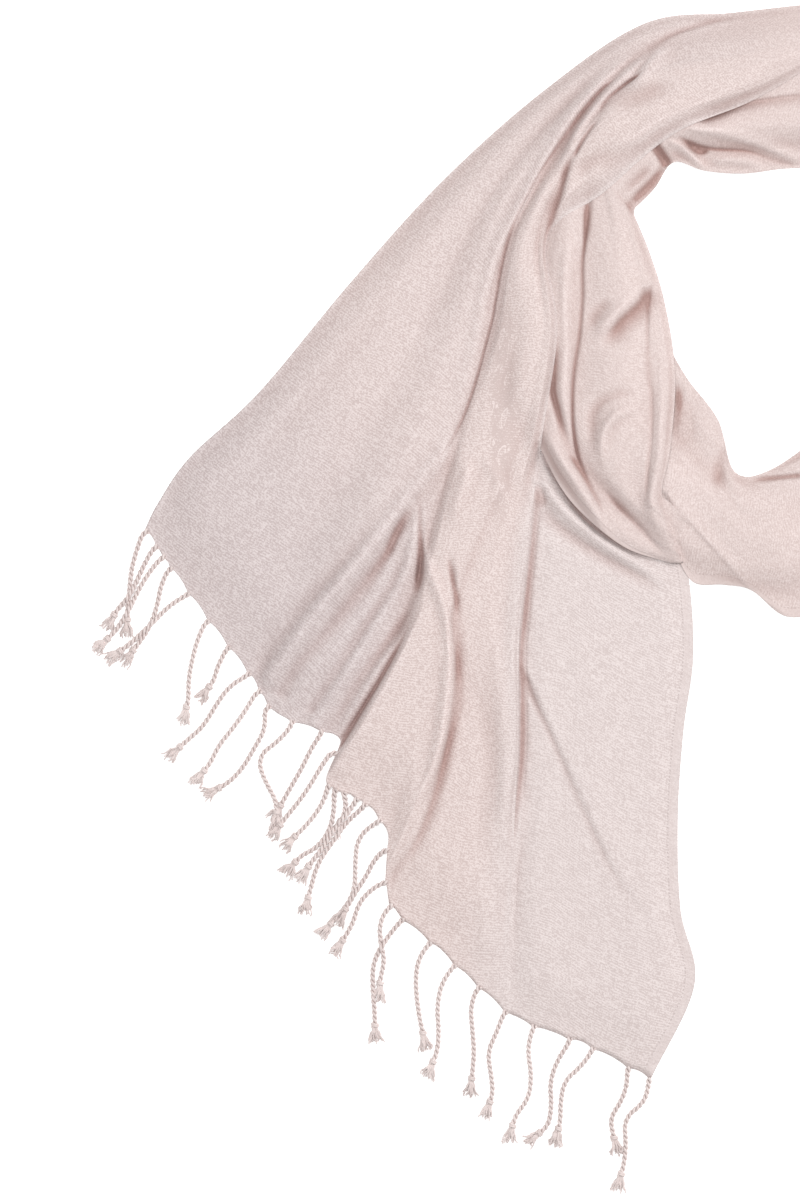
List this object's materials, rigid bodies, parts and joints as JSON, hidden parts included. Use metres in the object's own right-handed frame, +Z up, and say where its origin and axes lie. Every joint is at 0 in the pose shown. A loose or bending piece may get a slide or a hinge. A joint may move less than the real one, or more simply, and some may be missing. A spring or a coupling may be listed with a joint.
{
  "type": "pashmina shawl",
  "caption": "Pale blush pashmina shawl laid flat: one fringed end spread out in folds, the middle gathered into a neck loop, the other fringed end fanned out beside it.",
  "frame": {"origin": "on the surface that the shawl lies on, under the middle of its bounding box", "axes": "+Z up out of the surface, +Y from the spread fringed end towards the crown of the loop, +X from the spread end towards the far end"},
  "size_m": [0.911, 0.8596, 0.0256],
  "materials": {
    "cloth": "soft fine twill with a slight silky sheen, pale blush pink",
    "fringe": "two-ply twisted yarn, knotted and frayed at the ends, pale blush pink"
  },
  "bodies": {
    "root": {"near_end_crossing": "cloth", "near_end_tucked": "cloth", "loop_back": "cloth", "loop_left": "cloth", "loop_front": "cloth", "loop_right": "cloth", "far_end": "cloth", "hidden_layers": "cloth", "near_fringe": "fringe", "far_fringe": "fringe"}
  },
  "joints": []
}
